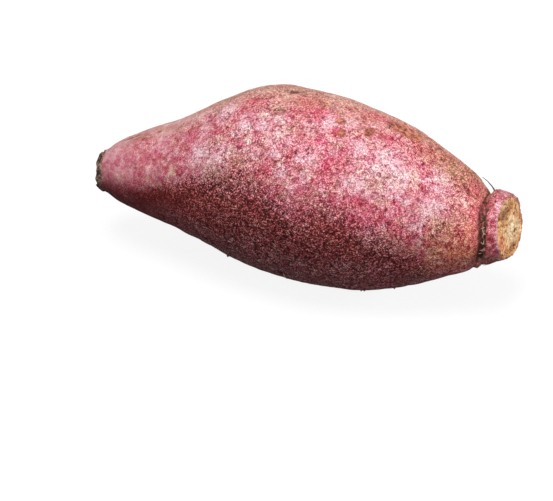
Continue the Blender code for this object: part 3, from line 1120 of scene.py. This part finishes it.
def strayed(skin, chance, along, angle, scatter_along, scatter_round):
    """A point of the mesh somewhere round a place on the skin."""
    return skin.nearest(
        along + chance.uniform(-scatter_along, scatter_along),
        angle + chance.uniform(-scatter_round, scatter_round),
    )


def strand(start, heading, length, curl, chance):
    """Points along a thin root that leaves start and bends by curl in all."""
    points = [start]
    axis = heading.cross(any_way(chance)).normalized()
    for _ in range(STRAND_STEPS):
        heading = Quaternion(axis, math.radians(curl / STRAND_STEPS)) @ heading
        axis = (axis + STRAND_WANDER * any_way(chance)).normalized()
        points.append(points[-1] + heading * (length / STRAND_STEPS))
    return points


def grown_strands(skin, chance):
    """(points, radius) of every thin root."""
    for along, angle, count, scatter, length, curl, radius in STRANDS:
        for _ in range(count):
            at = strayed(skin, chance, along, angle, STRAND_SCATTER_ALONG, scatter)
            outward = Vector(skin.normals[at])
            heading = (outward + STRAND_LEAN * any_way(chance)).normalized()
            start = Vector(skin.points[at]) - outward * STRAND_SUNK
            full = length * chance.uniform(*STRAND_LENGTHS)
            yield strand(start, heading, full, curl, chance), radius


def lying_fibres(skin, chance):
    """(points, radius) of short fibres that lie on the skin."""
    for along, angle, count, scatter_along, scatter_round, length, radius in FIBRES:
        for _ in range(count):
            at = strayed(skin, chance, along, angle, scatter_along, scatter_round)
            outward = Vector(skin.normals[at])
            heading = outward.cross(any_way(chance)).normalized()
            reach = length * chance.uniform(*FIBRE_LENGTHS)
            height = skin.rise[at] + radius / 2
            middle = Vector(skin.points[at] + skin.normals[at] * height)
            bow = outward.cross(heading) * reach * chance.uniform(-FIBRE_BOW, FIBRE_BOW)
            yield [middle - heading * reach / 2, middle + bow, middle + heading * reach / 2], radius


def dry_root(skin):
    """(points, radius) of the long root at the collar."""
    at = skin.nearest(*DRY_ROOT_FROM)
    start = Vector(skin.points[at] + skin.normals[at] * skin.rise[at])
    return [start + Vector(bend) for bend in DRY_ROOT_BENDS], DRY_ROOT_RADIUS


def tubes(name, strands):
    """A mesh of tapering tubes along the strands."""
    curve = bpy.data.curves.new(name, "CURVE")
    curve.dimensions = "3D"
    curve.bevel_depth = MM
    curve.bevel_resolution = 1
    curve.use_fill_caps = True
    for points, radius in strands:
        spline = curve.splines.new("POLY")
        last = len(points) - 1
        spline.points.add(last)
        for i, (knot, point) in enumerate(zip(spline.points, points)):
            height = max(point.z, radius)
            knot.co = (point.x * MM, point.y * MM, height * MM, 1.0)
            knot.radius = radius * (1.0 - TAPER * i / last)
    source = placed(name + "_curves", curve)
    graph = bpy.context.evaluated_depsgraph_get()
    mesh = bpy.data.meshes.new_from_object(source.evaluated_get(graph))
    bpy.data.objects.remove(source)
    mesh.shade_smooth()
    mesh.materials.clear()
    return placed(name, mesh)


def soil_crumbs(skin):
    """Irregular crumbs of soil, sunk into the skin where it holds them."""
    chance = random.Random(SEED)
    work = bmesh.new()
    for along, angle, count, scatter_along, scatter_round, largest in CRUMBS:
        for _ in range(count):
            at = strayed(skin, chance, along, angle, scatter_along, scatter_round)
            size = largest * chance.uniform(*CRUMB_SIZES)
            height = skin.rise[at] + CRUMB_OUT * size
            middle = Vector(skin.points[at] + skin.normals[at] * height)
            shift = Vector([chance.uniform(0, CRUMB_SHIFT) for _ in range(3)])
            if middle.z < CRUMB_CLEARANCE * size:
                continue
            made = bmesh.ops.create_icosphere(work, subdivisions=2, radius=size)
            for vert in made["verts"]:
                lump = noise.noise(vert.co / size * CRUMB_LUMP_RATE + shift)
                vert.co = (middle + vert.co * (1.0 + CRUMB_LUMPS * lump)) * MM
    mesh = bpy.data.meshes.new("soil_crumbs")
    work.to_mesh(mesh)
    work.free()
    return placed("soil_crumbs", mesh)


def sweep():
    """A pale floor that curves up all round, like a studio's backdrop."""
    flat = SWEEP_RADIUS - SWEEP_BEND
    profile = [(0.0, 0.0), (flat, 0.0)]
    for i in range(1, SWEEP_STEPS_UP + 1):
        turn = math.pi / 2 * i / SWEEP_STEPS_UP
        profile.append((flat + SWEEP_BEND * math.sin(turn), SWEEP_BEND * (1 - math.cos(turn))))
    profile.append((SWEEP_RADIUS, SWEEP_HEIGHT))
    points = [(radius * MM, 0.0, height * MM) for radius, height in profile]
    edges = [(i, i + 1) for i in range(len(points) - 1)]
    mesh = bpy.data.meshes.new("sweep")
    mesh.from_pydata(points, edges, [])
    floor = placed("sweep", mesh)
    turned = floor.modifiers.new("turn", "SCREW")
    turned.steps = turned.render_steps = SWEEP_STEPS_ROUND
    turned.use_merge_vertices = True
    turned.merge_threshold = SWEEP_WELD * MM
    turned.use_smooth_shade = True
    paper = Finish("paper")
    paper.surface("Base Color", FLOOR_COLOUR)
    paper.surface("Roughness", 1.0)
    paper.surface("Specular IOR Level", 0.0)
    paper.surface("Emission Color", WHITE)
    paper.surface("Emission Strength", FLOOR_GLOW)
    mesh.materials.append(paper.material)
    floor.visible_diffuse = floor.visible_glossy = False


def direction(azimuth, elevation):
    """The unit vector from the root towards that side; azimuth 0 is the front."""
    a, e = math.radians(azimuth), math.radians(elevation)
    return Vector((math.sin(a) * math.cos(e), -math.cos(a) * math.cos(e), math.sin(e)))


def lit():
    """Round lamps aimed at the root, and a faint light from all round."""
    for name, azimuth, elevation, distance, width, watts in LIGHTS:
        lamp = bpy.data.lights.new(name, "AREA")
        lamp.shape = "DISK"
        lamp.size = width * MM
        lamp.energy = watts
        light = placed(name, lamp)
        towards = direction(azimuth, elevation)
        light.location = (Vector(AIM) + towards * distance) * MM
        light.rotation_euler = towards.to_track_quat("Z", "Y").to_euler()
    world = bpy.data.worlds.new("studio")
    world.use_nodes = True
    background = world.node_tree.nodes["Background"]
    background.inputs["Color"].default_value = WHITE
    background.inputs["Strength"].default_value = ROOM_LIGHT
    bpy.context.scene.world = world
    bpy.context.scene.view_settings.view_transform = "Standard"


def camera():
    data = bpy.data.cameras.new("camera")
    data.lens, data.sensor_width = LENS, SENSOR
    cam = placed("camera", data)
    back = direction(VIEW_AZIMUTH, VIEW_ELEVATION)
    turned = back.to_track_quat("Z", "Y")
    right, up = turned @ Vector((1, 0, 0)), turned @ Vector((0, 1, 0))
    cam.location = (Vector(AIM) + right * AIM_RIGHT + up * AIM_UP + back * VIEW_DISTANCE) * MM
    cam.rotation_euler = turned.to_euler()
    bpy.context.scene.camera = cam


def dressed_root():
    """The root's skin, hairs, long dry root and crumbs, all riding on the root."""
    root = fine_mesh(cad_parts[NODE])
    skin = Skin(root)
    tinted(skin)
    dusted_and_sheened(skin)
    shaded(skin)
    grained(skin)
    pebbled(skin)
    scarred(skin)
    eyed(skin)
    long_scarred(skin)
    furrowed(skin)
    cut_crown(skin)
    creased(skin)
    snapped_tail(skin)
    skin.store()
    root.data.materials.clear()
    root.data.materials.append(skin_material())
    chance = random.Random(SEED)
    hairs = tubes("rootlets", [*grown_strands(skin, chance), *lying_fibres(skin, chance)])
    hairs.data.materials.append(rootlet_material())
    long_root = tubes("dry_root", [dry_root(skin)])
    long_root.data.materials.append(dry_root_material())
    crumbs = soil_crumbs(skin)
    crumbs.data.materials.append(crumb_material())
    for piece in (root, hairs, long_root, crumbs):
        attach(piece, "root")
    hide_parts(NODE)


dressed_root()
sweep()
lit()
camera()
